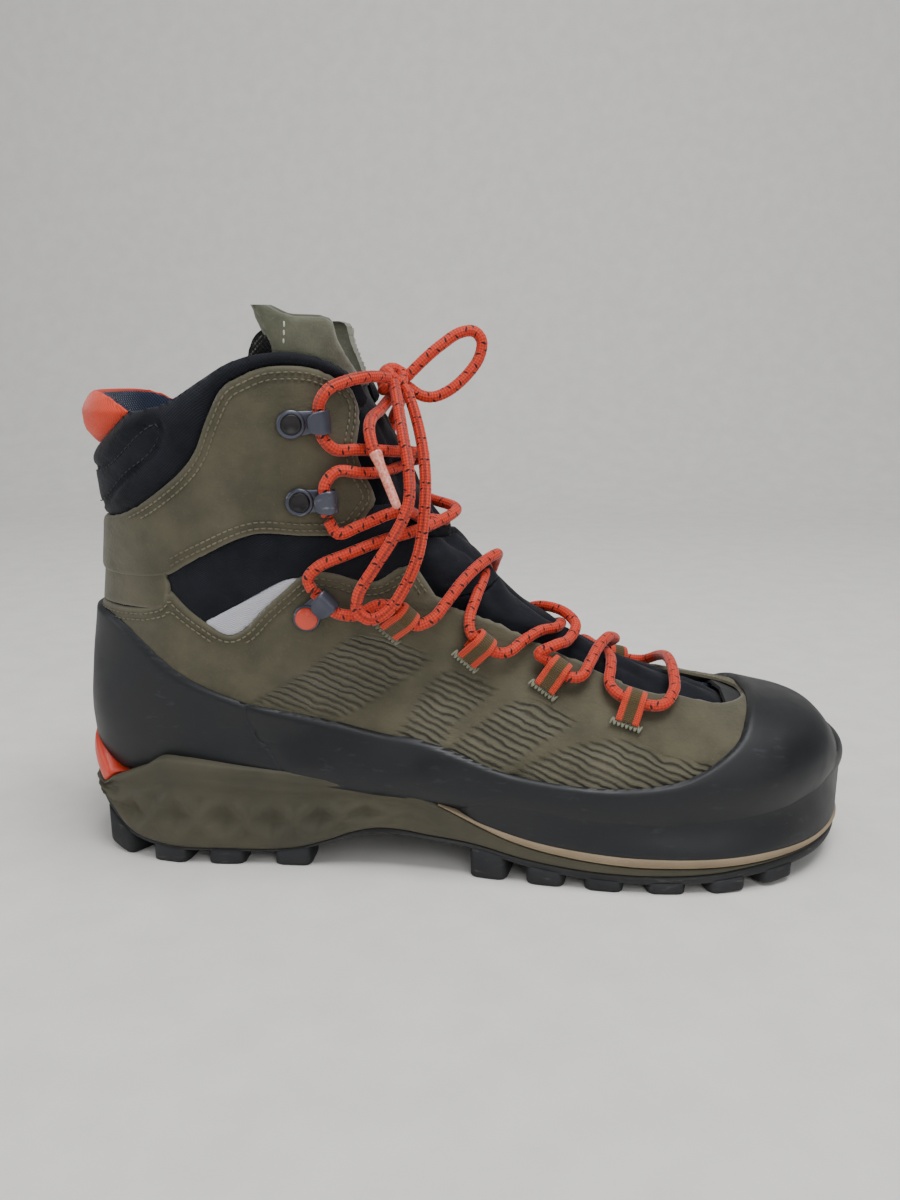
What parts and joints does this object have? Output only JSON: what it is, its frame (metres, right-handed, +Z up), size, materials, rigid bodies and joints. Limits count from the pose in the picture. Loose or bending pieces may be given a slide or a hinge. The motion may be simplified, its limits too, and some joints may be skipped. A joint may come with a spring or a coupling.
{
  "type": "mountaineering boot",
  "caption": "Ankle-high mountaineering boot with rubber rand, lugged sole, speed hooks and a tied lace.",
  "frame": {"origin": "ground level, under the middle of the boot's box", "axes": "+X from heel to toe, +Y to the medial side (right boot), +Z up"},
  "size_m": [0.3116, 0.108, 0.2135],
  "materials": {
    "leather": "nubuck with printed ripple texture",
    "rand_rubber": "matt moulded rubber",
    "outsole_rubber": "moulded tread rubber",
    "midsole_foam": "moulded polyurethane",
    "cushion_foam": "moulded foam",
    "welt_plastic": "moulded elastomer",
    "stretch_fabric": "woven stretch fabric",
    "lining_fabric": "knitted lining",
    "mesh_fabric": "open mesh",
    "accent_fabric": "woven webbing",
    "lace_cord": "braided cord with dark flecks",
    "hook_metal": "dark plated steel",
    "accent_metal": "enamelled rivet",
    "shank_steel": "spring steel",
    "fibre_board": "fibre board",
    "flap_fabric": "woven fabric",
    "clear_plastic": "clear tube"
  },
  "bodies": {
    "lower": {"outsole": "outsole_rubber", "heel_welt": "welt_plastic", "midsole": "midsole_foam", "midsole_cushion": "cushion_foam", "lasting_board": "fibre_board", "shank": "shank_steel", "bottom_filler": "midsole_foam", "quarter_leather": "leather", "rand_front": "rand_rubber", "rand_heel": "rand_rubber", "heel_counter": "fibre_board", "toe_puff": "fibre_board", "lining_lower": "lining_fabric", "achilles_flex": "leather", "ankle_lining": "lining_fabric", "tongue_lower": "stretch_fabric", "tongue_flex": "stretch_fabric", "lace_lower": "lace_cord", "mesh_insert_lateral": "mesh_fabric", "ankle_gusset_lateral": "stretch_fabric", "hook_lateral_3": "hook_metal", "rivet_lateral_3": "accent_metal", "lace_ankle_lateral": "lace_cord", "webbing_eyelet_lateral_1": "accent_fabric", "webbing_eyelet_lateral_2": "accent_fabric", "webbing_eyelet_lateral_3": "accent_fabric", "webbing_eyelet_lateral_4": "accent_fabric", "mesh_insert_medial": "mesh_fabric", "ankle_gusset_medial": "stretch_fabric", "hook_medial_3": "hook_metal", "rivet_medial_3": "accent_metal", "lace_ankle_medial": "lace_cord", "webbing_eyelet_medial_1": "accent_fabric", "webbing_eyelet_medial_2": "accent_fabric", "webbing_eyelet_medial_3": "accent_fabric", "webbing_eyelet_medial_4": "accent_fabric"},
    "cuff": {"cuff_leather": "leather", "collar_pad": "stretch_fabric", "collar_tab": "accent_fabric", "cuff_lining": "lining_fabric", "knot": "lace_cord", "bow_loop_up": "lace_cord", "bow_loop_down": "lace_cord", "hook_lateral_1": "hook_metal", "hook_lateral_2": "hook_metal", "rivet_lateral_1": "hook_metal", "rivet_lateral_2": "hook_metal", "lace_upper_lateral": "lace_cord", "lace_tail_lateral": "lace_cord", "aglet_lateral": "clear_plastic", "hook_medial_1": "hook_metal", "hook_medial_2": "hook_metal", "rivet_medial_1": "hook_metal", "rivet_medial_2": "hook_metal", "lace_upper_medial": "lace_cord", "lace_tail_medial": "lace_cord", "aglet_medial": "clear_plastic"},
    "tongue": {"tongue_upper": "stretch_fabric", "tongue_flap": "flap_fabric"},
    "footbed": {"footbed": "lining_fabric"}
  },
  "joints": [
    {"name": "ankle_flex", "type": "hinge", "parent": "lower", "child": "cuff", "pos_m": [-0.1, 0, 0.108], "axis": [0, 1, 0], "range_deg": [-4, 10], "stiffness_Nm_per_rad": 15, "deforming": ["ankle_gusset_lateral", "ankle_gusset_medial", "achilles_flex", "ankle_lining", "tongue_flex", "lace_ankle_lateral", "lace_ankle_medial"]},
    {"name": "tongue_swing", "type": "hinge", "parent": "cuff", "child": "tongue", "pos_m": [-0.012, 0, 0.131], "axis": [0, -1, 0], "range_deg": [0, 8], "stiffness_Nm_per_rad": 0.6, "deforming": ["tongue_upper"]},
    {"name": "footbed_lift", "type": "hinge", "parent": "lower", "child": "footbed", "pos_m": [0.142, 0, 0.03], "axis": [0, 1, 0], "range_deg": [0, 5]}
  ]
}
